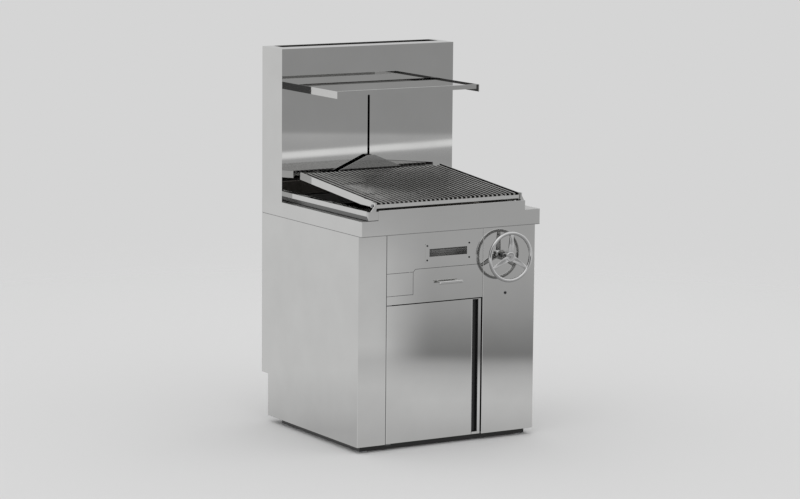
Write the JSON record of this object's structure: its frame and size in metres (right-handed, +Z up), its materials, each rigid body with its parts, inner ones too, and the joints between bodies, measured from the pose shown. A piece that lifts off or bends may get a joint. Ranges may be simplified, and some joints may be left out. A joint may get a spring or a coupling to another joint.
{
  "type": "commercial charcoal grill",
  "caption": "Free-standing commercial charcoal grill: steel cabinet with cupboard, ash drawer and handwheel that tilts the cooking grate, gutters and a flue tower with a shelf.",
  "frame": {"origin": "on the floor, under the middle of the box that holds the whole grill at rest", "axes": "+Z up, -Y the front with the door and handwheel, +X to the right seen from the front"},
  "size_m": [0.808, 0.82, 1.505],
  "materials": {
    "stainless": "satin",
    "grate_steel": "polished",
    "mesh": "satin",
    "black_steel": "satin black paint",
    "plain_steel": "machined",
    "bronze": "machined",
    "cast": "as cast",
    "fireclay": "matt",
    "wheel_metal": "polished",
    "black_plastic": "matt"
  },
  "bodies": {
    "cabinet": {"levelling_feet": "plain_steel", "plinth_frame": "black_steel", "base_pan": "stainless", "side_panel_left": "stainless", "side_panel_right": "stainless", "rear_panel": "stainless", "control_panel": "stainless", "compartment_wall": "stainless", "cupboard_deck": "stainless", "service_bulkhead": "stainless", "upper_front_panel": "stainless", "front_frame": "stainless", "access_cover": "stainless", "vent_plate": "stainless", "vent_grille": "mesh", "vent_screws": "plain_steel", "air_duct": "stainless", "worktop": "stainless", "gutter_left": "stainless", "gutter_right": "stainless", "gutter_front": "stainless", "corner_blocks": "stainless", "pivot_brackets": "stainless", "firebox": "stainless", "fire_grate": "cast", "firebricks": "fireclay", "tower_casing": "stainless", "tower_front": "stainless", "tower_top": "stainless", "flue_baffle": "black_steel", "shelf_arms": "stainless", "shelf_plate": "stainless", "shelf_bolts": "plain_steel", "guide_rods": "plain_steel", "guide_brackets": "plain_steel", "rack_guide": "bronze", "shaft_bearings": "bronze", "door_hinges": "plain_steel", "door_catch": "black_plastic", "drawer_runners": "stainless", "button_switch": "plain_steel"},
    "door": {"door_skin": "stainless", "door_liner": "stainless", "door_pull": "stainless"},
    "drawer": {"drawer_front": "stainless", "drawer_box": "stainless", "drawer_handle": "stainless"},
    "grate": {"grate_frame": "grate_steel", "grate_bars": "grate_steel", "pivot_pins": "plain_steel"},
    "carriage": {"lift_yoke": "stainless", "lift_arm": "stainless", "crosshead": "plain_steel", "guide_bushes": "bronze", "rack": "plain_steel"},
    "wheel": {"handwheel": "wheel_metal", "wheel_screw": "plain_steel", "drive_shaft": "plain_steel", "pinion": "plain_steel"},
    "button": {"push_button": "black_plastic"}
  },
  "joints": [
    {"name": "door_hinge", "type": "hinge", "parent": "cabinet", "child": "door", "pos_m": [-0.271, -0.349, 0.2945], "axis": [0, 0, -1], "range_deg": [0, 100]},
    {"name": "drawer_slide", "type": "slide", "parent": "cabinet", "child": "drawer", "axis": [0, -1, 0], "range_m": [0, 0.4]},
    {"name": "grate_tilt", "type": "hinge", "parent": "cabinet", "child": "grate", "pos_m": [-0.012, -0.355, 0.955], "axis": [1, 0, 0], "range_deg": [-4.85, 24.15]},
    {"name": "lift_slide", "type": "slide", "parent": "cabinet", "child": "carriage", "axis": [0, 0, 1], "range_m": [-0.0469, 0.2329]},
    {"name": "wheel_turn", "type": "hinge", "parent": "cabinet", "child": "wheel", "pos_m": [0.253, -0.401, 0.7235], "axis": [0, 1, 0], "range_deg": [-111.8, 555.9]},
    {"name": "button_press", "type": "slide", "parent": "cabinet", "child": "button", "axis": [0, 1, 0], "range_m": [0, 0.002], "stiffness_N_per_m": 400, "springref_m": -0.001}
  ],
  "couplings": [
    {"joint": "lift_slide", "follows": "grate_tilt", "m_per_rad": 0.55231},
    {"joint": "wheel_turn", "follows": "grate_tilt", "ratio": 23.013}
  ]
}
